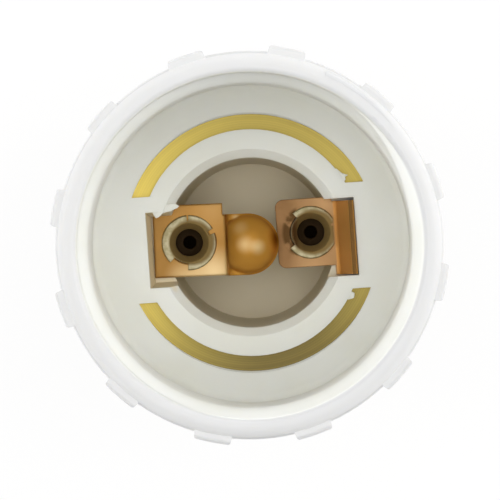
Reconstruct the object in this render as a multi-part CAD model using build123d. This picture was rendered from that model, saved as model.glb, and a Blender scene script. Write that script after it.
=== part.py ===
from build123d import *
from math import cos, radians, sin
import os

os.makedirs("parts", exist_ok=True)

# Lamp socket adapter: a B22 bayonet cap below, an E27 screw lampholder above. Millimetres.
# The origin is on the axis at the height of the two bayonet pins, +Z points out of the lamp mouth,
# and X runs along the line of the two contacts.

# Heights of the moulded body, from the pin axis
shoulder_height = 10.7
floor_thickness = 2.8
cup_depth = 27.0
plug_drop = 4.9
boss_drop = 6.5
boss_wall = 3.0

# Cup round the screw lamp
thread_root_radius = 13.3
cup_wall = 1.65
rim_rounding = 1.0
lip_rounding = 0.45
cup_corner_rounding = 1.0
shoulder_rounding = 2.2

# Grip ribs on the outside of the cup
rib_count = 12
rib_height = 0.5
rib_width = 3.1
rib_crest_width = 2.7
rib_corner_rounding = 0.22
rib_end_rounding = 0.35
rib_below_rim = 0.45
rib_above_shoulder = 2.4

# Bayonet sleeve, moulded into the body by its flange, and its pins
sleeve_radius = 11.0
sleeve_wall = 0.45
sleeve_drop = 5.2
sleeve_corner = 0.6
sleeve_clearance = 0.04
flange_depth = 0.8
flange_hole_radius = 8.95
flange_relief_reach = 9.8
flange_relief_width = 8.0
pin_radius = 1.05
pin_stand = 2.4
pin_end_rounding = 0.35
pin_clearance = 0.02

# Recess for the contacts, the curved slots round it, and the boss at the bayonet end
slot_radius = 10.25
slot_width = 1.35
slot_shift = 0.3
bridge_width = 8.6
recess_mouth_radius = 7.6
recess_chamfer = 0.68
recess_floor_radius = 6.45
boss_radius = 9.0
boss_edge = 0.6

# Contact seats
contact_depth = 3.4
centre_pocket_reach = 8.42
centre_pocket_span = (-3.15, 3.03)
centre_pocket_lean = 0.42
side_pocket_reach = 8.55
side_pocket_span = (-3.24, 3.1)
side_pocket_lean = 0.02
pedestal_inner_reach = 2.7
pedestal_width = 5.0
bed_clearance = 0.05

# Contact strips, each laid out from its rivet's line and then turned a little about its rivet
strip_thickness = 0.4
strip_bend_radius = 0.3
centre_turn = -1.7
centre_tab_outer = 7.95
centre_tab_inner = 1.75
centre_tab_width = 5.9
centre_tab_shift = 0.17
centre_tip_width = 5.0
centre_tip_shift = -0.3
centre_tip_reach = 2.25
centre_riser_height = 2.2
dome_margin = 0.05
dome_height = 1.95
dome_fold_rounding = 0.35
side_turn = -0.3
side_tab_inner = 2.12
side_tab_outer = 7.25
side_tab_width = 5.6
side_tab_corner = 0.65
side_leg_width = 6.0
side_leg_shift = -0.585
side_leg_height = 3.5
side_leg_lean = 1.05

# Semi-tubular rivets, placed along and across the contact line
centre_rivet_place = (-5.06, 0.33)
side_rivet_place = (4.9, 0.47)
rivet_shank_radius = 1.65
rivet_clearance = 0.05
rivet_bore_radius = 1.12
rivet_bore_depth = 4.0
rivet_pilot_radius = 0.54
rivet_pilot_depth = 8.0
centre_flange_radius = 2.25
side_flange_radius = 2.15
rivet_flange_thickness = 0.35
rivet_flange_edge = 0.12
rivet_flare_radius = 1.6
rivet_flare_depth = 0.95
rivet_flare_edge = 0.12
rivet_head_radius = 2.4
rivet_head_height = 0.9
rivet_head_rounding = 0.6
# Where each flared end is split: direction and opening in degrees, and depth from its edge
centre_splits = [(90, 4, 0.45), (22, 10, 0.5), (243, 42, 0.58)]
side_splits = [(16, 6, 0.4), (172, 84, 0.62)]

# Levels and radii that follow
floor_top = shoulder_height + floor_thickness
mouth = floor_top + cup_depth
wall_radius = thread_root_radius + cup_wall
rib_radius = wall_radius + rib_height
sleeve_bore = sleeve_radius - sleeve_wall
flange_top = floor_top - flange_depth
flange_bottom = flange_top - sleeve_wall
pin_reach = sleeve_radius + pin_stand
recess_floor = boss_wall - boss_drop
seat = floor_top - contact_depth
tab_middle = seat + strip_thickness / 2
tab_top = seat + strip_thickness
bend_reach = strip_bend_radius + strip_thickness / 2
rivet_hole_radius = rivet_shank_radius + rivet_clearance
full_height = mouth + boss_drop


def turned(points, radii):
    """A solid of revolution about the axis, from (radius, height) corners and their roundings."""
    outline = FilletPolyline(*points, radius=radii, close=True)
    return revolve(Plane.XZ * make_face(outline), Axis.Z)


def plate(x_low, x_high, y_low, y_high):
    """A rectangle from its four sides."""
    return Pos((x_low + x_high) / 2, (y_low + y_high) / 2) * Rectangle(x_high - x_low, y_high - y_low)


def column(outline, bottom, top):
    """A straight column over a flat outline."""
    return Pos(0, 0, bottom) * extrude(outline, top - bottom)


def grip_rib():
    """One rib on the +X side: tapered sides, rounded crest corners and rounded ends."""
    root = wall_radius - cup_wall / 2
    section = make_face(Polyline(
        (root, -rib_width / 2),
        (rib_radius + rib_height, -rib_crest_width / 2),
        (rib_radius + rib_height, rib_crest_width / 2),
        (root, rib_width / 2),
        close=True,
    ))
    section = section & Circle(rib_radius)
    crest = section.vertices().sort_by(Axis.X)[-2:]
    section = fillet(crest, rib_corner_rounding)
    envelope = turned(
        [
            (root, shoulder_height + rib_above_shoulder),
            (rib_radius, shoulder_height + rib_above_shoulder),
            (rib_radius, mouth - rib_below_rim),
            (root, mouth - rib_below_rim),
        ],
        [0, rib_end_rounding, rib_end_rounding, 0],
    )
    return extrude(section, full_height) & envelope


def floor_slot():
    """The curved slot on the +Y side, from the floor down to the flange of the sleeve."""
    ring = Pos(0, slot_shift) * (Circle(slot_radius) - Circle(slot_radius - slot_width))
    beside_bridge = plate(-wall_radius, wall_radius, bridge_width / 2, wall_radius)
    return column(ring & beside_bridge, flange_top, floor_top)


def pocket(side, reach, span, lean):
    """A contact's pocket, open to the recess, whose walls lean in by the given amount at the seat."""
    low, high = span
    wide = plate(pedestal_inner_reach, reach, low, high)
    narrow = plate(pedestal_inner_reach, reach - lean, low + lean, high - lean)
    space = loft([Pos(0, 0, seat) * narrow, Pos(0, 0, floor_top) * wide])
    return space if side > 0 else mirror(space, Plane.YZ)


def seated(shape, rivet_place, turn):
    """Move a strip's shape to its rivet's line and turn it round the rivet."""
    x, y = rivet_place
    return Pos(x, y, 0) * Rot(0, 0, turn) * Pos(-x, 0, 0) * shape


def centre_tab():
    """The flat outline of the centre contact's tab."""
    half = centre_tab_width / 2
    return plate(
        -centre_tab_outer, -centre_tab_inner - bend_reach, centre_tab_shift - half, centre_tab_shift + half
    )


def side_tab():
    """The flat outline of the side contact's tab, rounded at its inner corners."""
    half = side_tab_width / 2
    tab = plate(side_tab_inner, side_tab_outer - bend_reach, -half, half)
    return fillet(tab.vertices().sort_by(Axis.X)[:2], side_tab_corner)


def socket_body():
    """The white moulding: ribbed cup, slotted floor, and the plug that carries the contacts."""
    body = turned(
        [
            (0, -boss_drop),
            (boss_radius, -boss_drop),
            (boss_radius, -plug_drop),
            (sleeve_bore, -plug_drop),
            (sleeve_bore, shoulder_height),
            (wall_radius, shoulder_height),
            (wall_radius, mouth),
            (thread_root_radius, mouth),
            (thread_root_radius, floor_top),
            (recess_mouth_radius, floor_top),
            (recess_mouth_radius - recess_chamfer, floor_top - recess_chamfer),
            (recess_floor_radius, recess_floor),
            (0, recess_floor),
        ],
        [0, boss_edge, 0, 0, 0, shoulder_rounding, rim_rounding, lip_rounding, cup_corner_rounding, 0, 0, 0, 0],
    )
    rib = grip_rib()
    body += [Rot(0, 0, (number + 0.5) * 360 / rib_count) * rib for number in range(rib_count)]
    body -= sleeve_shell(sleeve_clearance)
    slot = floor_slot()
    body -= [slot, Rot(0, 0, 180) * slot]

    centre_pocket = pocket(-1, centre_pocket_reach, centre_pocket_span, centre_pocket_lean)
    side_pocket = pocket(1, side_pocket_reach, side_pocket_span, side_pocket_lean)
    for place, turn, tab, space in (
        (centre_rivet_place, centre_turn, centre_tab(), centre_pocket),
        (side_rivet_place, side_turn, side_tab(), side_pocket),
    ):
        x, y = place
        reach = recess_mouth_radius if x > 0 else -recess_mouth_radius
        inner = pedestal_inner_reach if x > 0 else -pedestal_inner_reach
        foot = plate(min(inner, reach), max(inner, reach), y - pedestal_width / 2, y + pedestal_width / 2)
        body += column(foot, recess_floor, seat)
        body -= space
        bed = column(offset(tab, bed_clearance), seat, tab_top + bed_clearance)
        body -= seated(bed, place, turn)
        body -= column(Pos(x, y) * Circle(rivet_hole_radius), -boss_drop, seat)
    return body


def sleeve_shell(play):
    """The drawn cup with its inward flange, cut back beside the contacts, grown by some play."""
    outer = sleeve_radius + play
    inner = sleeve_bore - play
    hole = flange_hole_radius - play
    shell = turned(
        [
            (hole, flange_top),
            (outer, flange_top),
            (outer, -sleeve_drop),
            (inner, -sleeve_drop),
            (inner, flange_bottom),
            (hole, flange_bottom),
        ],
        [0, sleeve_corner, 0, 0, 0, 0],
    )
    reach = flange_relief_reach - play
    half = flange_relief_width / 2 - play
    return shell - column(plate(-reach, reach, -half, half), flange_bottom, flange_top)


def bayonet_sleeve():
    """The brass sleeve: a drawn cup whose flange is held in the floor of the moulding."""
    pin_holes = Rot(90, 0, 0) * Cylinder(pin_radius + pin_clearance, 2 * pin_reach)
    return sleeve_shell(0) - pin_holes


def bayonet_pin():
    """The pin on the +Y side: pressed through the sleeve, flush inside, rounded at its free end."""
    pin = extrude(Circle(pin_radius), pin_reach)
    pin = fillet(pin.faces().sort_by(Axis.Z)[-1].edges(), pin_end_rounding)
    return Rot(-90, 0, 0) * pin - Cylinder(sleeve_bore, 2 * sleeve_radius)


def folded_strip(points):
    """A wide strip folded along (x, z) points, which run through the middle of its thickness."""
    path = FilletPolyline(*points, radius=strip_bend_radius + strip_thickness / 2)
    section = Plane.XZ * trace(path, strip_thickness)
    return extrude(section, recess_mouth_radius, both=True)


def cut_strip(strip, outline, rivet_place, turn):
    """Cut a folded strip to its outline, pierce it for its rivet, and lay it in its seat."""
    strip = strip & column(outline, -boss_drop, mouth)
    hole = Pos(rivet_place[0], 0) * Circle(rivet_hole_radius)
    return seated(strip - column(hole, seat, tab_top), rivet_place, turn)


def pressed_dome(radius, height, fold):
    """The upper half of a flattened ball, cut straight where the strip folds down."""
    quarter = make_face([
        CenterArc((0, 0), 1, 0, 90),
        Line((0, 1), (0, 0)),
        Line((0, 0), (1, 0)),
    ])
    half_ball = revolve(Plane.XZ * scale(quarter, (radius, height, 1)), Axis.Z)
    return half_ball & column(plate(fold, radius, -radius, radius), 0, height)


def centre_contact():
    """The golden strip: a tab under its rivet, a riser, and a domed tip over the axis."""
    tip_middle = tab_middle + centre_riser_height
    strip = folded_strip([
        (-centre_tab_outer, tab_middle),
        (-centre_tab_inner, tab_middle),
        (-centre_tab_inner, tip_middle),
        (centre_tip_reach + strip_thickness, tip_middle),
    ])
    tip_radius = centre_tip_width / 2
    tip_centre = centre_tip_reach - tip_radius
    dome_radius = tip_radius - dome_margin
    fold = -centre_tab_inner - strip_thickness / 2 - tip_centre
    dome = pressed_dome(dome_radius, dome_height, fold)
    folded_edge = dome.edges().filter_by(GeomType.LINE, reverse=True).sort_by(Axis.X)[0]
    dome = fillet(folded_edge, dome_fold_rounding)
    hollow = pressed_dome(
        dome_radius - strip_thickness, dome_height - strip_thickness, fold + strip_thickness
    )
    place = Pos(tip_centre, centre_tip_shift, tip_middle - strip_thickness / 2)
    strip = strip + place * dome - place * hollow

    neck = plate(-centre_tab_inner - bend_reach, tip_centre, -tip_radius, tip_radius)
    tip = Pos(0, centre_tip_shift) * (neck + Pos(tip_centre, 0) * Circle(tip_radius))
    return cut_strip(strip, centre_tab() + tip, centre_rivet_place, centre_turn)


def side_contact():
    """The copper-coloured strip: a tab under its rivet and a leg bent up towards the lamp's shell."""
    strip = folded_strip([
        (side_tab_inner, tab_middle),
        (side_tab_outer, tab_middle),
        (side_tab_outer + side_leg_lean, tab_middle + side_leg_height),
    ])
    half = side_leg_width / 2
    leg = plate(side_tab_outer - bend_reach, side_pocket_reach, side_leg_shift - half, side_leg_shift + half)
    return cut_strip(strip, side_tab() + leg, side_rivet_place, side_turn)


def rivet(rivet_place, flange_radius, splits):
    """A semi-tubular rivet: contact head below, bored end flared and split over its strip."""
    top = tab_top + rivet_flange_thickness
    bore_end = top - rivet_bore_depth
    pilot_end = bore_end - rivet_pilot_depth
    head_face = -boss_drop - rivet_head_height
    shape = turned(
        [
            (0, head_face),
            (rivet_head_radius, head_face),
            (rivet_head_radius, -boss_drop),
            (rivet_shank_radius, -boss_drop),
            (rivet_shank_radius, tab_top),
            (flange_radius, tab_top),
            (flange_radius, top),
            (rivet_flare_radius, top),
            (rivet_bore_radius, top - rivet_flare_depth),
            (rivet_bore_radius, bore_end),
            (rivet_pilot_radius, bore_end),
            (rivet_pilot_radius, pilot_end),
            (0, pilot_end),
        ],
        [0, rivet_head_rounding, 0, 0, 0, 0, rivet_flange_edge, rivet_flare_edge, 0, 0, 0, 0, 0],
    )
    for direction, opening, depth in splits:
        reach = 2 * flange_radius
        side = reach * sin(radians(opening / 2))
        wedge = make_face(Polyline(
            (0, 0),
            (reach * cos(radians(opening / 2)), -side),
            (reach * cos(radians(opening / 2)), side),
            close=True,
        ))
        notch = column(wedge - Circle(flange_radius - depth), tab_top, floor_top)
        shape -= Rot(0, 0, direction) * notch
    return Pos(*rivet_place, 0) * shape


def side_rivet():
    """The rivet over the side tab, its flange pressed flat against the foot of the leg."""
    foot = side_tab_outer - bend_reach
    leg_space = column(plate(foot, wall_radius, -wall_radius, wall_radius), tab_top, floor_top)
    return rivet(side_rivet_place, side_flange_radius, side_splits) - leg_space


pieces = {
    "socket_body": socket_body(),
    "bayonet_sleeve": bayonet_sleeve(),
    "rear_pin": bayonet_pin(),
    "front_pin": Rot(0, 0, 180) * bayonet_pin(),
    "centre_contact": centre_contact(),
    "side_contact": side_contact(),
    "centre_rivet": rivet(centre_rivet_place, centre_flange_radius, centre_splits),
    "side_rivet": side_rivet(),
}
for name, piece in pieces.items():
    export_step(piece, f"parts/{name}.step")
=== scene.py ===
from math import cos, pi, radians, sin

import bpy
from mathutils import Matrix, Vector


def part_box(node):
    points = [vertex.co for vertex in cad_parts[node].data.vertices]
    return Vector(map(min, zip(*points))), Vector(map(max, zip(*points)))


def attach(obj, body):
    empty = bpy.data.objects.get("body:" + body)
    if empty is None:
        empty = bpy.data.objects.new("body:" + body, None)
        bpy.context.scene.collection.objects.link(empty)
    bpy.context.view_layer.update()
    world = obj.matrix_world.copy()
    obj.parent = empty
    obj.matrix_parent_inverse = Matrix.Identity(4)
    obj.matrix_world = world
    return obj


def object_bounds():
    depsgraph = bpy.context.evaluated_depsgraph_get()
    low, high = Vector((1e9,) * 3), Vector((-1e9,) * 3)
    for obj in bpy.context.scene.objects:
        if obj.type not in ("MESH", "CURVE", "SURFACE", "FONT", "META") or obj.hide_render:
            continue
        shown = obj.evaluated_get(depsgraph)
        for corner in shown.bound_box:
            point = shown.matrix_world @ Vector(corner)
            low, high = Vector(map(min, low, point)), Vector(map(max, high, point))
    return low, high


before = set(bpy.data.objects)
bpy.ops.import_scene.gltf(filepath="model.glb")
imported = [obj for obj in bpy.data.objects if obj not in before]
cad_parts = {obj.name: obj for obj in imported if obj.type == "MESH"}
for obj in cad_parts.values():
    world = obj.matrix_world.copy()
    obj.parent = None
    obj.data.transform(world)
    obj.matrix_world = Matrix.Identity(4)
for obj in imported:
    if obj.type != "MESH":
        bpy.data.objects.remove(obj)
cad_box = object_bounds()

# Socket body
# One thick moulding in white thermoplastic, which is slightly glossy and lets a little light through.
# It makes the ribbed cup for the lamp, the slotted floor and the plug that carries the contacts. The
# rim and rib tops are painted greyer than the wall as painted shade, and the bore whiter and creamier
# as painted light; the recess and the left pocket are painted warm for their shade and the brass's light.
MM = 0.001
OUTER_WHITE = (0.84, 0.84, 0.835, 1)
RIM_SHADED_WHITE = (0.70, 0.70, 0.697, 1)
BORE_LIT_WHITE = (0.93, 0.934, 0.89, 1)
BORE_LIT_CREAM = (0.905, 0.904, 0.845, 1)
RECESS_BOUNCE_CREAM = (0.86, 0.78, 0.60, 1)
POCKET_BOUNCE_CREAM = (0.92, 0.81, 0.57, 1)
PLASTIC_GLOW = (1.2 * MM, 1.1 * MM, 0.9 * MM)
PLASTIC_ROUGHNESS = 0.42
CREAM_PATCHES = 160
CREAM_SPREAD = (0.35, 0.65)
SKIN_GRAIN = 1400
SKIN_DEPTH = 0.003 * MM
MOUTH_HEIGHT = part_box("socket_body")[1][2]
FLOOR_TOP = 13.5 * MM
# Each pair of lengths is where a change of colour starts and where it is complete.
BORE_EDGE = (13.6 * MM, 13.9 * MM)
RIM_INSIDE = (13.3 * MM, 13.5 * MM)
RIM_OUTSIDE = (14.9 * MM, 14.15 * MM)
RIB_INSIDE = (14.76 * MM, 14.82 * MM)
RIB_TOP = (MOUTH_HEIGHT - 0.65 * MM, MOUTH_HEIGHT - 0.48 * MM)
RIM_FOOT = (MOUTH_HEIGHT - 1.3 * MM, MOUTH_HEIGHT - 0.8 * MM)
RECESS_EDGE = (8.3 * MM, 7.7 * MM)
RECESS_TOP = (FLOOR_TOP - 0.3 * MM, FLOOR_TOP - 3.5 * MM)
RECESS_FOOT = (-4.6 * MM, -3.8 * MM)
POCKET_TOP = (FLOOR_TOP - 0.04 * MM, FLOOR_TOP - 0.4 * MM)
POCKET_FOOT = (FLOOR_TOP - 4.5 * MM, FLOOR_TOP - 3.5 * MM)
POCKET_MOUTH = (-5.9 * MM, -6.9 * MM)
POCKET_SIDE = (3.8 * MM, 3.4 * MM)
POCKET_REACH = (9.3 * MM, 8.9 * MM)


class Shade:
    """The output of a shader node, on which plain arithmetic adds Math nodes."""

    def __init__(self, output):
        self.output = output

    def add(self, kind, settings, sockets, result=0):
        """Add a node of a kind, make its settings, then set or link its sockets."""
        tree = self.output.id_data
        node = tree.nodes.new("ShaderNode" + kind)
        for name, value in settings.items():
            setattr(node, name, value)
        for name, value in sockets.items():
            if isinstance(value, Shade):
                tree.links.new(value.output, node.inputs[name])
            else:
                node.inputs[name].default_value = value
        return Shade(node.outputs[result])

    def maths(self, operation, *values):
        return self.add("Math", {"operation": operation}, dict(enumerate(values)))

    def __add__(self, other):
        return self.maths("ADD", self, other)

    def __sub__(self, other):
        return self.maths("SUBTRACT", self, other)

    def __rsub__(self, other):
        return self.maths("SUBTRACT", other, self)

    def __mul__(self, other):
        return self.maths("MULTIPLY", self, other)

    def __truediv__(self, other):
        return self.maths("DIVIDE", self, other)

    __radd__ = __add__
    __rmul__ = __mul__

    def between(self, low, high):
        """Rises smoothly from 0 to 1 as the value goes from low to high."""
        settings = {"interpolation_type": "SMOOTHSTEP"}
        return self.add("MapRange", settings, {"Value": self, "From Min": low, "From Max": high})

    def ranging(self, first, second):
        """The first number where the value is 0 and the second where it is 1."""
        return first + self * (second - first)

    def blend(self, first, second):
        """The first colour where the value is 0 and the second where it is 1."""
        return self.add("Mix", {"data_type": "RGBA"}, {0: self, 6: first, 7: second}, 2)

    def radius(self, other):
        """The distance from an axis of which these are the two sides."""
        return self.maths("SQRT", self * self + other * other)

    def noise(self, scale, detail=2.0):
        """Soft spots over a place, in spots a metre."""
        return self.add("TexNoise", {}, {"Vector": self, "Scale": scale, "Detail": detail})

    def spot(self, centre, reach):
        """1 at a centre given in millimetres, and falls smoothly to 0 at the reach."""
        middle = [number * MM for number in centre]
        away = self.add("VectorMath", {"operation": "DISTANCE"}, {0: self, 1: middle}, "Value")
        return away.between(reach * MM, 0.0)

    def spots(self, rows):
        """The sum of some spots, each given as its centre, reach and weight."""
        total = 0.0
        for centre, reach, weight in rows:
            total = self.spot(centre, reach) * weight + total
        return total

    def axes(self):
        """The three numbers of a place, in metres."""
        node = self.add("SeparateXYZ", {}, {0: self}).output.node
        return [Shade(output) for output in node.outputs]

    def feed(self, surface, socket):
        self.output.id_data.links.new(self.output, surface.inputs[socket])

    def emboss(self, surface, height, edges=0.0):
        """Raise and sink a surface by the value times a height, and ease its edges by a radius."""
        sockets = {"Height": self, "Distance": height}
        if edges:
            sockets["Normal"] = self.add("Bevel", {"samples": 6}, {"Radius": edges})
        self.add("Bump", {}, sockets).feed(surface, "Normal")


def new_finish(name, **constants):
    """A material, its surface node and the place on the piece, with its constant sockets set."""
    material = bpy.data.materials.new(name)
    material.use_nodes = True
    surface = material.node_tree.nodes["Principled BSDF"]
    for socket, value in constants.items():
        surface.inputs[socket.replace("_", " ")].default_value = value
    place = Shade(surface.outputs[0]).add("TexCoord", {}, {}, "Object")
    return material, surface, place


def dress(piece, material):
    piece.data.materials.clear()
    piece.data.materials.append(material)


plastic, surface, place = new_finish(
    "white_plastic", Roughness=PLASTIC_ROUGHNESS,
    Subsurface_Weight=0.25, Subsurface_Scale=1.0, Subsurface_Radius=PLASTIC_GLOW,
)
across, along, height = place.axes()
radius = across.radius(along)
# Painted light and shade: the bore is painted whiter and creamier than the wall, the rim and rib tops
# greyer.
bore = place.noise(CREAM_PATCHES).between(*CREAM_SPREAD).blend(BORE_LIT_WHITE, BORE_LIT_CREAM)
white = radius.between(*BORE_EDGE).blend(bore, OUTER_WHITE)
rim = radius.between(*RIM_INSIDE) * radius.between(*RIM_OUTSIDE) * height.between(*RIM_FOOT)
rib_top = radius.between(*RIB_INSIDE) * height.between(*RIB_TOP)
white = (rim + rib_top).blend(white, RIM_SHADED_WHITE)
# Painted shade and bounce: the recess is painted a warm cream for its shade and the light off the brass.
recess = radius.between(*RECESS_EDGE) * height.between(*RECESS_TOP) * height.between(*RECESS_FOOT)
white = recess.blend(white, RECESS_BOUNCE_CREAM)
# Painted shade and bounce: the walls of the left pocket are painted a warm tan for their shade and the
# brass strip's light.
pocket = height.between(*POCKET_TOP) * height.between(*POCKET_FOOT) * across.between(*POCKET_MOUTH)
pocket = pocket * place.maths("ABSOLUTE", along).between(*POCKET_SIDE) * radius.between(*POCKET_REACH)
pocket.blend(white, POCKET_BOUNCE_CREAM).feed(surface, "Base Color")
place.noise(SKIN_GRAIN, detail=3.0).emboss(surface, SKIN_DEPTH)
dress(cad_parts["socket_body"], plastic)

# Screw thread
# The rounded E27 thread is moulded in the bore of the cup, right-handed, as one wave to each turn.
# It grows out of the wall just below the rim, where its upper flank is pressed flatter, and runs out
# again a little over half way down the cup.
THREAD_CREST_RADIUS = 12.48 * MM
THREAD_ROOT_RADIUS = 13.32 * MM
THREAD_BACK_RADIUS = 13.8 * MM
THREAD_PITCH = 3.629 * MM
THREAD_TURNS = 4
START_BELOW_MOUTH = 0.35 * MM
START_SIDE = radians(62)
LIP_HEIGHT = 0.05 * MM
WAVE_STEPS = 24
RINGS_A_TURN = 120
RUN_IN_RINGS = 20
RUN_OUT_RINGS = 30
SEED_SIZE = 0.1 * MM
MERGE_DISTANCE = 0.0001 * MM
SMOOTH_ANGLE = radians(40)


def draw_line(name, points):
    """A new piece, left in edit mode, that is one line through the points."""
    bpy.ops.object.select_all(action="DESELECT")
    bpy.ops.mesh.primitive_plane_add(size=SEED_SIZE, location=points[0])
    bpy.context.object.name = name
    bpy.ops.object.transform_apply(location=True, rotation=True, scale=True)
    bpy.ops.object.mode_set(mode="EDIT")
    bpy.ops.mesh.select_all(action="SELECT")
    bpy.ops.mesh.merge(type="CENTER")
    for point, following in zip(points, points[1:]):
        bpy.ops.mesh.extrude_vertices_move(TRANSFORM_OT_translate={"value": following - point})
    return bpy.context.object


def pick_points(piece, chosen):
    """Select some points of a piece by their numbers, and no edges or faces."""
    bpy.ops.object.mode_set(mode="EDIT")
    bpy.ops.mesh.select_all(action="DESELECT")
    bpy.ops.object.mode_set(mode="OBJECT")
    for number in chosen:
        piece.data.vertices[number].select = True
    bpy.ops.object.mode_set(mode="EDIT")


thread_foot = MOUTH_HEIGHT - START_BELOW_MOUTH - THREAD_TURNS * THREAD_PITCH
corners = [(THREAD_BACK_RADIUS, 0.5), (THREAD_BACK_RADIUS, -0.5)]
for step in range(WAVE_STEPS + 1):
    share = step / WAVE_STEPS - 0.5
    swell = cos(pi * share) if share > 0 else cos(pi * share) ** 2
    corners.append((THREAD_ROOT_RADIUS - (THREAD_ROOT_RADIUS - THREAD_CREST_RADIUS) * swell, share))
outline = [Vector((radius, 0, thread_foot + share * THREAD_PITCH)) for radius, share in corners]

thread = draw_line("screw_thread", outline)
bpy.ops.object.mode_set(mode="OBJECT")
pick_points(thread, (0, len(outline) - 1))
bpy.ops.mesh.edge_face_add()
bpy.ops.object.mode_set(mode="OBJECT")
helix = thread.modifiers.new("helix", "SCREW")
helix.angle = 2 * pi
helix.screw_offset = THREAD_PITCH
helix.iterations = THREAD_TURNS
helix.steps = RINGS_A_TURN
helix.render_steps = RINGS_A_TURN
bpy.ops.object.modifier_apply(modifier=helix.name)
thread.rotation_euler = (0, 0, START_SIDE)
bpy.ops.object.transform_apply(location=False, rotation=True, scale=False)

ring_points = len(outline)
ring_count = THREAD_TURNS * RINGS_A_TURN + 1
upper_half = [0] + list(range(2 + WAVE_STEPS // 2, ring_points))
for ring in range(ring_count):
    first_point = ring * ring_points
    crest_height = thread_foot + ring * THREAD_PITCH / RINGS_A_TURN
    room = (MOUTH_HEIGHT - LIP_HEIGHT - crest_height) / (THREAD_PITCH / 2)
    if room < 1:
        pick_points(thread, [first_point + number for number in upper_half])
        bpy.ops.transform.resize(value=(1, 1, room), center_override=(0, 0, crest_height))
        bpy.ops.object.mode_set(mode="OBJECT")
    grown = min(ring / RUN_OUT_RINGS, (ring_count - 1 - ring) / RUN_IN_RINGS, 1)
    if grown < 1:
        angle = START_SIDE + ring * 2 * pi / RINGS_A_TURN
        sink = (THREAD_ROOT_RADIUS - THREAD_CREST_RADIUS) * (1 + cos(pi * grown)) / 2
        pick_points(thread, range(first_point, first_point + ring_points))
        bpy.ops.transform.translate(value=(sink * cos(angle), sink * sin(angle), 0))
        if grown == 0:
            bpy.ops.mesh.edge_face_add()
        bpy.ops.object.mode_set(mode="OBJECT")
bpy.ops.object.mode_set(mode="EDIT")
bpy.ops.mesh.select_all(action="SELECT")
bpy.ops.mesh.remove_doubles(threshold=MERGE_DISTANCE)
bpy.ops.mesh.normals_make_consistent(inside=False)
bpy.ops.object.mode_set(mode="OBJECT")
bpy.ops.object.shade_smooth_by_angle(angle=SMOOTH_ANGLE)

dress(thread, plastic)
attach(thread, "root")

# Flash and nibs
# Scraps of the moulding's own plastic: a torn flake of flash over a corner of the left pocket, and a nib
# on the inner edge of each slot near its right end.
SCRAP_TOP = FLOOR_TOP - 0.03 * MM
# The thickness of each scrap, and its torn outline in millimetres.
SCRAPS = {
    "pocket_flash": (0.30 * MM, [
        (-8.32, 3.40), (-7.81, 3.17), (-7.80, 2.92), (-7.58, 2.51), (-7.31, 2.60), (-6.97, 2.90),
        (-6.71, 2.95), (-6.47, 2.99), (-6.22, 3.07), (-5.78, 3.22), (-5.60, 3.38), (-6.02, 3.62),
        (-7.18, 3.50),
    ]),
    "upper_nib": (0.75 * MM, [
        (7.05, 5.55), (7.35, 5.48), (7.73, 5.10), (8.22, 4.91), (7.97, 4.77), (8.02, 4.57), (7.89, 4.43),
        (7.40, 4.47),
    ]),
    "lower_nib": (0.75 * MM, [
        (7.45, -4.50), (7.83, -4.54), (8.09, -4.68), (7.99, -5.08), (7.53, -5.18), (7.10, -5.02),
    ]),
}
SCRAP_EDGE = 0.04 * MM
SCRAP_WHITE = (0.86, 0.86, 0.80, 1)

scrap_plastic = new_finish("scrap_plastic", Base_Color=SCRAP_WHITE, Roughness=PLASTIC_ROUGHNESS)[0]
for name, (thickness, corners) in SCRAPS.items():
    scrap = draw_line(name, [Vector((x * MM, y * MM, SCRAP_TOP)) for x, y in corners])
    bpy.ops.mesh.select_all(action="SELECT")
    bpy.ops.mesh.edge_face_add()
    bpy.ops.mesh.extrude_region_move(TRANSFORM_OT_translate={"value": (0, 0, -thickness)})
    bpy.ops.mesh.select_all(action="SELECT")
    bpy.ops.mesh.normals_make_consistent(inside=False)
    bpy.ops.mesh.bevel(offset=SCRAP_EDGE, segments=2, affect="EDGES", clamp_overlap=True)
    bpy.ops.object.mode_set(mode="OBJECT")
    bpy.ops.object.shade_smooth_by_angle(angle=SMOOTH_ANGLE)
    dress(scrap, scrap_plastic)
    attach(scrap, "root")

# Bayonet sleeve and pins
# The sleeve is drawn from brass sheet, and its flange, held in the floor, shows in the slots with fine
# turning marks and a painted reflection, bright on the left and dark at the front.
# The two pins are turned from the same brass and pressed through the sleeve.
SLEEVE_BRASS = (0.74, 0.55, 0.25, 1)
SLEEVE_DULL = (0.66, 0.485, 0.22, 1)
FLANGE_PAINTED_SHEEN = (0.98, 0.76, 0.18, 1)
FLANGE_PAINTED_DARK = (0.26, 0.20, 0.072, 1)
FLANGE_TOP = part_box("bayonet_sleeve")[1][2]
FLANGE_FOOT = (FLANGE_TOP - 1.7 * MM, FLANGE_TOP - 0.7 * MM)
FLANGE_SHINE = 0.50
SHINE_TO_LEFT = 0.23
SHINE_TO_REAR = 0.24
SHINE_AT_SIDES = 0.235
MARKS_SHINE = 0.25
TURNING_MARKS = 7000.0
TURNING_DEPTH = 0.002 * MM
SLEEVE_WEAR = 220
WEAR_SPREAD = (0.3, 0.7)
SLEEVE_ROUGHNESS = (0.24, 0.40)
SLEEVE_EDGE = 0.08 * MM

sleeve_brass, surface, place = new_finish("sleeve_brass", Metallic=1.0)
across, along, height = place.axes()
radius = across.radius(along)
lean = across / radius
rise = along / radius
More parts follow.
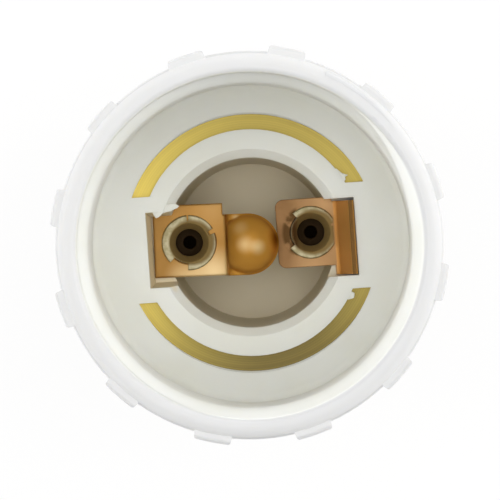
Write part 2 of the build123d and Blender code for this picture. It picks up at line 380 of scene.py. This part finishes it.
# Painted reflection: the flange's colour runs from bright on the left to dark at the front, by direction.
shine = FLANGE_SHINE - lean * SHINE_TO_LEFT + rise * SHINE_TO_REAR
shine = shine + (lean * lean - rise * rise) * SHINE_AT_SIDES
marks = place.add("TexNoise", {"noise_dimensions": "1D"}, {"W": radius, "Scale": TURNING_MARKS})
flange = (shine + (marks - 0.5) * MARKS_SHINE).blend(FLANGE_PAINTED_DARK, FLANGE_PAINTED_SHEEN)
worn = place.noise(SLEEVE_WEAR, detail=4.0)
sleeve = worn.between(*WEAR_SPREAD).blend(SLEEVE_DULL, SLEEVE_BRASS)
height.between(*FLANGE_FOOT).blend(sleeve, flange).feed(surface, "Base Color")
worn.ranging(*SLEEVE_ROUGHNESS).feed(surface, "Roughness")
marks.emboss(surface, TURNING_DEPTH, SLEEVE_EDGE)
for name in ("bayonet_sleeve", "front_pin", "rear_pin"):
    dress(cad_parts[name], sleeve_brass)

# Centre contact
# A golden strip of spring brass: a tab under its rivet, folded up to a tip with a pressed dome.
# The tab has painted highlights at its front corners and painted shade towards its outer end, over a
# random mottle. The dome is satin and painted a lighter gold, with painted highlights on top, painted
# shade on its left side, and is browner at its right end where it faces the other strip.
GOLD_MOTTLE_AND_SHADE = (0.37, 0.195, 0.055, 1)
GOLD = (0.53, 0.275, 0.075, 1)
GOLD_PAINTED_HIGHLIGHT = (0.92, 0.67, 0.34, 1)
DOME_LIT_GOLD = (0.73, 0.36, 0.068, 1)
DOME_SHADED = (0.27, 0.11, 0.014, 1)
DOME_END_BROWN = (0.27, 0.105, 0.004, 1)
DOME_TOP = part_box("centre_contact")[1][2]
TIP_HEIGHT = (DOME_TOP - 2.95 * MM, DOME_TOP - 2.25 * MM)
SHADED_SIDE = (-4.0 * MM, -7.5 * MM)
TAB_HIGHLIGHTS = [((-3.2, -2.3, 10.5), 2.6, 1.0), ((-5.6, -2.6, 10.5), 2.0, 0.6), ((-3.0, 2.9, 10.5), 2.0, 0.12)]
DOME_HIGHLIGHTS = [
    ((-0.5, -0.1, 14.2), 1.0, 0.7), ((0.55, -0.4, 14.2), 0.9, 0.9), ((-0.75, 1.2, 13.7), 0.9, 0.45),
    ((-1.1, 2.05, 12.7), 0.45, 1.0),
]
DOME_SHADE = ((-2.1, 0.0, 12.9), 2.5)
DOME_BROWN_END = ((1.95, 0.15, 12.9), 1.1)
GOLD_SIDE_SHADING = 0.7
GOLD_MOTTLE = 0.6
GOLD_ROUGHNESS = (0.26, 0.44)
GRAIN_ROUGHNESS = 0.06
GOLD_GRAIN = 900
GOLD_DEPTH = 0.004 * MM
GOLD_EDGE = 0.3 * MM

golden_strip, surface, place = new_finish("golden_strip", Metallic=1.0)
across, along, height = place.axes()
grain = place.noise(GOLD_GRAIN, detail=4.0)
on_tip = height.between(*TIP_HEIGHT)
far_side = across.between(*SHADED_SIDE)
# Painted shade towards the tab's outer end, over a random mottle, and painted highlights on the tab.
gold = (far_side * GOLD_SIDE_SHADING + (grain - 0.5) * GOLD_MOTTLE).blend(GOLD, GOLD_MOTTLE_AND_SHADE)
gold = place.spots(TAB_HIGHLIGHTS).blend(gold, GOLD_PAINTED_HIGHLIGHT)
# Painted light on the dome: a lighter gold, painted highlights on top and painted shade on its left side.
dome = place.spot(*DOME_SHADE).blend(DOME_LIT_GOLD, DOME_SHADED)
dome = place.spots(DOME_HIGHLIGHTS).blend(dome, GOLD_PAINTED_HIGHLIGHT)
gold = on_tip.blend(gold, dome)
# The dome is browner at its right end, where it faces the other strip.
browned_end = place.spot(*DOME_BROWN_END) * on_tip
browned_end.blend(gold, DOME_END_BROWN).feed(surface, "Base Color")
(on_tip.ranging(*GOLD_ROUGHNESS) + grain * GRAIN_ROUGHNESS).feed(surface, "Roughness")
grain.emboss(surface, GOLD_DEPTH, GOLD_EDGE)
dress(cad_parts["centre_contact"], golden_strip)

# Side contact
# A copper-coloured strip: a flat tab with its leg bent up against the end of the pocket.
# The tab has painted shade towards its free end over a random mottle, painted highlights, and a dark
# brown crescent beside the rivet where it is split; the leg is painted a shaded brown, darkest at its top
# end.
COPPER = (0.46, 0.26, 0.115, 1)
COPPER_MOTTLE_AND_SHADE = (0.29, 0.155, 0.065, 1)
COPPER_PAINTED_HIGHLIGHT = (0.70, 0.42, 0.20, 1)
LEG_SHADED_BROWN = (0.78, 0.39, 0.105, 1)
LEG_END_SHADE_BROWN = (0.26, 0.13, 0.035, 1)
CRESCENT_BROWN = (0.12, 0.062, 0.022, 1)
COPPER_HIGHLIGHTS = [((6.3, 2.8, 10.5), 1.4, 0.5), ((4.6, -2.6, 10.5), 2.2, 0.45)]
FREE_END = (5.0 * MM, 2.9 * MM)
LEG_FOOT = (6.75 * MM, 6.95 * MM)
LEG_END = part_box("side_contact")[1][2]
LEG_END_FACE = (LEG_END - 0.15 * MM, LEG_END - 0.05 * MM)
CRESCENT_START = (1.50 * MM, 1.62 * MM)
CRESCENT_FINISH = (2.50 * MM, 2.15 * MM)
CRESCENT_SIDE = (-0.9 * MM, -1.3 * MM)
CRESCENT_GRAIN = (0.30, 0.50)
COPPER_END_SHADING = 0.9
COPPER_MOTTLE = 0.7
COPPER_ROUGHNESS = (0.28, 0.55)
LEG_METAL = (1.0, 0.5)
COPPER_GRAIN = 1100
COPPER_DEPTH = 0.003 * MM
COPPER_EDGE = 0.12 * MM


def middle(name):
    """The middle of the box of a piece."""
    low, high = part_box(name)
    return [(first + last) / 2 for first, last in zip(low, high)]


copper_strip, surface, place = new_finish("copper_strip")
across, along, height = place.axes()
grain = place.noise(COPPER_GRAIN, detail=4.0)
free_end = across.between(*FREE_END)
# Painted shade towards the tab's free end, over a random mottle, and painted highlights.
copper = (free_end * COPPER_END_SHADING + (grain - 0.5) * COPPER_MOTTLE).blend(COPPER, COPPER_MOTTLE_AND_SHADE)
copper = place.spots(COPPER_HIGHLIGHTS).blend(copper, COPPER_PAINTED_HIGHLIGHT)
side_rivet = middle("side_rivet")
# A dark brown crescent on the tab, to the left of the rivet.
aside = across - side_rivet[0]
away = aside.radius(along - side_rivet[1])
crescent = away.between(*CRESCENT_START) * away.between(*CRESCENT_FINISH) * aside.between(*CRESCENT_SIDE)
crescent = crescent * grain.between(*CRESCENT_GRAIN)
copper = crescent.blend(copper, CRESCENT_BROWN)
on_leg = across.between(*LEG_FOOT)
# Painted shade: the leg is painted its own brown for the shade it stands in, darker along its top end.
leg = height.between(*LEG_END_FACE).blend(LEG_SHADED_BROWN, LEG_END_SHADE_BROWN)
on_leg.blend(copper, leg).feed(surface, "Base Color")
on_leg.ranging(*LEG_METAL).feed(surface, "Metallic")
(on_leg.ranging(*COPPER_ROUGHNESS) + grain * GRAIN_ROUGHNESS).feed(surface, "Roughness")
grain.emboss(surface, COPPER_DEPTH, COPPER_EDGE)
dress(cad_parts["side_contact"], copper_strip)

# Rivets
# Semi-tubular rivets of pale brass, flared and split over the strips, with their heads at the far end.
# The flared ends are pale and streaked, their funnels dull with old oxide and browner on the side of the
# crescent, and their bores are painted dark with depth as painted shade.
RIVET_PALE = (0.62, 0.55, 0.36, 1)
RIVET_GREY = (0.41, 0.345, 0.19, 1)
RIVET_OLIVE = (0.28, 0.19, 0.07, 1)
RIVET_BORE_SHADE = (0.045, 0.024, 0.008, 1)
RIVET_FUNNEL_BROWN = (0.16, 0.085, 0.03, 1)
FUNNEL_EDGE = (2.0 * MM, 1.65 * MM)
FUNNEL_SHIFT = 0.11
RIVET_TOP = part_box("centre_rivet")[1][2]
RIVET_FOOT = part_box("centre_rivet")[0][2]
BORE_DEPTH = (0.9 * MM, 1.6 * MM)
HEAD_TOP = (RIVET_FOOT + 1.4 * MM, RIVET_FOOT + 1.0 * MM)
HEAD_CALM = 0.8
HEAD_PALENESS = 0.6
FUNNEL_METAL = (1.0, 0.25)
RIVET_ROUGHNESS = (0.32, 0.52)
STREAK_ROUGHNESS = 0.08
STREAK_SPREAD = (0.35, 0.65)
RIVET_STREAKS = 1600
STREAK_DEPTH = 0.004 * MM
RIVET_EDGE = 0.1 * MM

rivet_brass, surface, place = new_finish("rivet_brass", Specular_IOR_Level=0.2)
across, along, height = place.axes()
depth = RIVET_TOP - height
streaks = place.noise(RIVET_STREAKS, detail=4.0)
on_head = height.between(*HEAD_TOP)
on_right = place.maths("GREATER_THAN", across, 0.0)
centre_rivet = middle("centre_rivet")
aside = across - centre_rivet[0] - on_right * (side_rivet[0] - centre_rivet[0])
forth = along - centre_rivet[1] - on_right * (side_rivet[1] - centre_rivet[1])
away = aside.radius(forth)
in_funnel = (away - aside * FUNNEL_SHIFT).between(*FUNNEL_EDGE) * (1 - on_head)
# Painted shade: the bores are painted dark with depth.
in_bore = depth.between(*BORE_DEPTH) * (1 - on_head)
pale = streaks.between(*STREAK_SPREAD) * (1 - on_head * HEAD_CALM) + on_head * HEAD_PALENESS
brass = pale.blend(RIVET_GREY, RIVET_PALE)
# The right rivet's funnel is browner on the side of the crescent.
browned_funnel = aside.between(*CRESCENT_SIDE) * on_right
brass = in_funnel.blend(brass, browned_funnel.blend(RIVET_OLIVE, RIVET_FUNNEL_BROWN))
in_bore.blend(brass, RIVET_BORE_SHADE).feed(surface, "Base Color")
in_funnel.ranging(*FUNNEL_METAL).feed(surface, "Metallic")
(in_funnel.ranging(*RIVET_ROUGHNESS) + streaks * STREAK_ROUGHNESS).feed(surface, "Roughness")
streaks.emboss(surface, STREAK_DEPTH, RIVET_EDGE)
for name in ("centre_rivet", "side_rivet"):
    dress(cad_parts[name], rivet_brass)

# Studio
# A plain white floor under the part and a white room, which look bright but light the part only a little.
# Soft lamps stand above, at both sides and behind, and two low ones at the sides light the lip.
FLOOR_SIZE = 1.2
FLOOR_GAP = 0.02 * MM
FLOOR_GLOW = 0.93
FLOOR_WHITE = (0.95, 0.95, 0.95, 1)
ROOM_LIGHT = 0.20
PLAIN_WHITE = (1, 1, 1, 1)
MOUTH = Vector((0, 0, MOUTH_HEIGHT))


def direct_rays(shade):
    """1 for what the camera sees straight, mirrored or through a piece, and 0 for other light."""
    rays = shade.add("LightPath", {}, {}).output.node
    seen = Shade(rays.outputs["Is Camera Ray"]) + Shade(rays.outputs["Is Glossy Ray"])
    return seen + Shade(rays.outputs["Is Transmission Ray"])


bpy.ops.object.select_all(action="DESELECT")
bpy.ops.mesh.primitive_plane_add(size=FLOOR_SIZE, location=(0, 0, cad_box[0][2] - FLOOR_GAP))
floor = bpy.context.object
floor.name = "floor"
floor_finish, surface, place = new_finish("floor_white", Base_Color=FLOOR_WHITE, Roughness=0.8)
tree = floor_finish.node_tree
seen = direct_rays(place) * FLOOR_GLOW
glow = place.add("Emission", {}, {"Color": PLAIN_WHITE, "Strength": 1.0})
mixed = place.add("MixShader", {}, {0: seen, 1: Shade(surface.outputs[0]), 2: glow})
tree.links.new(mixed.output, tree.nodes["Material Output"].inputs["Surface"])
dress(floor, floor_finish)

world = bpy.data.worlds.new("studio")
bpy.context.scene.world = world
world.use_nodes = True
background = world.node_tree.nodes["Background"]
seen = direct_rays(Shade(background.outputs[0]))
seen.ranging(ROOM_LIGHT, 1.0).feed(background, "Strength")
background.inputs["Color"].default_value = PLAIN_WHITE


def soft_lamp(name, place, size, power, mirrored):
    """A rectangular lamp that faces the mouth of the cup, which metal mirrors or not."""
    lamp = bpy.data.lights.new(name, "AREA")
    lamp.shape = "RECTANGLE"
    lamp.size, lamp.size_y = size
    lamp.energy = power
    stand = bpy.data.objects.new(name, lamp)
    stand.visible_glossy = mirrored
    bpy.context.scene.collection.objects.link(stand)
    aim = MOUTH - Vector(place)
    stand.matrix_world = Matrix.Translation(place) @ aim.to_track_quat("-Z", "Y").to_matrix().to_4x4()


soft_lamp("overhead_softbox", place=(0.00, 0.008, 0.80), size=(0.34, 0.30), power=2.3, mirrored=False)
soft_lamp("right_softbox", place=(0.50, 0.06, 0.62), size=(0.40, 0.45), power=2.1, mirrored=True)
soft_lamp("left_softbox", place=(-0.50, 0.00, 0.62), size=(0.40, 0.45), power=1.1, mirrored=True)
soft_lamp("rear_softbox", place=(0.00, 0.50, 0.62), size=(0.45, 0.40), power=0.8, mirrored=True)
soft_lamp("low_right_softbox", place=(0.65, 0.15, 0.22), size=(0.30, 0.25), power=1.1, mirrored=False)
soft_lamp("low_left_softbox", place=(-0.65, 0.15, 0.22), size=(0.30, 0.25), power=1.3, mirrored=False)
bpy.context.scene.view_settings.view_transform = "Standard"

# Camera
# The view looks down the axis into the lamp mouth from far off, a touch to one side of the axis and
# turned a little, so that deeper levels shift up and to the right.
CAMERA_DISTANCE = 0.480
VIEW_WIDTH = 0.0384
SENSOR_WIDTH = 36.0
PICTURE_SIZE = 500
MOUTH_PIXEL = (249.7, 245.3)
ROLL = radians(4.1)
LEAN = (0.0044, 0.0089)
FARTHEST_SEEN = 5.0

turn = Matrix.Rotation(-ROLL, 3, "Z")
image_right = turn @ Vector((1, 0, 0))
image_up = turn @ Vector((0, 1, 0))
to_camera = (Vector((0, 0, 1)) + image_right * LEAN[0] + image_up * LEAN[1]).normalized()
image_right = (image_right - to_camera * image_right.dot(to_camera)).normalized()
image_up = to_camera.cross(image_right)
pixel = VIEW_WIDTH / PICTURE_SIZE
offset = (
    image_right * (PICTURE_SIZE / 2 - MOUTH_PIXEL[0]) * pixel
    + image_up * (MOUTH_PIXEL[1] - PICTURE_SIZE / 2) * pixel
)
lens = bpy.data.cameras.new("camera")
lens.sensor_width = SENSOR_WIDTH
lens.lens = SENSOR_WIDTH * CAMERA_DISTANCE / VIEW_WIDTH
lens.clip_end = FARTHEST_SEEN
camera = bpy.data.objects.new("camera", lens)
bpy.context.scene.collection.objects.link(camera)
rotation = Matrix((image_right, image_up, to_camera)).transposed().to_4x4()
camera.matrix_world = Matrix.Translation(MOUTH + offset + to_camera * CAMERA_DISTANCE) @ rotation
bpy.context.scene.camera = camera
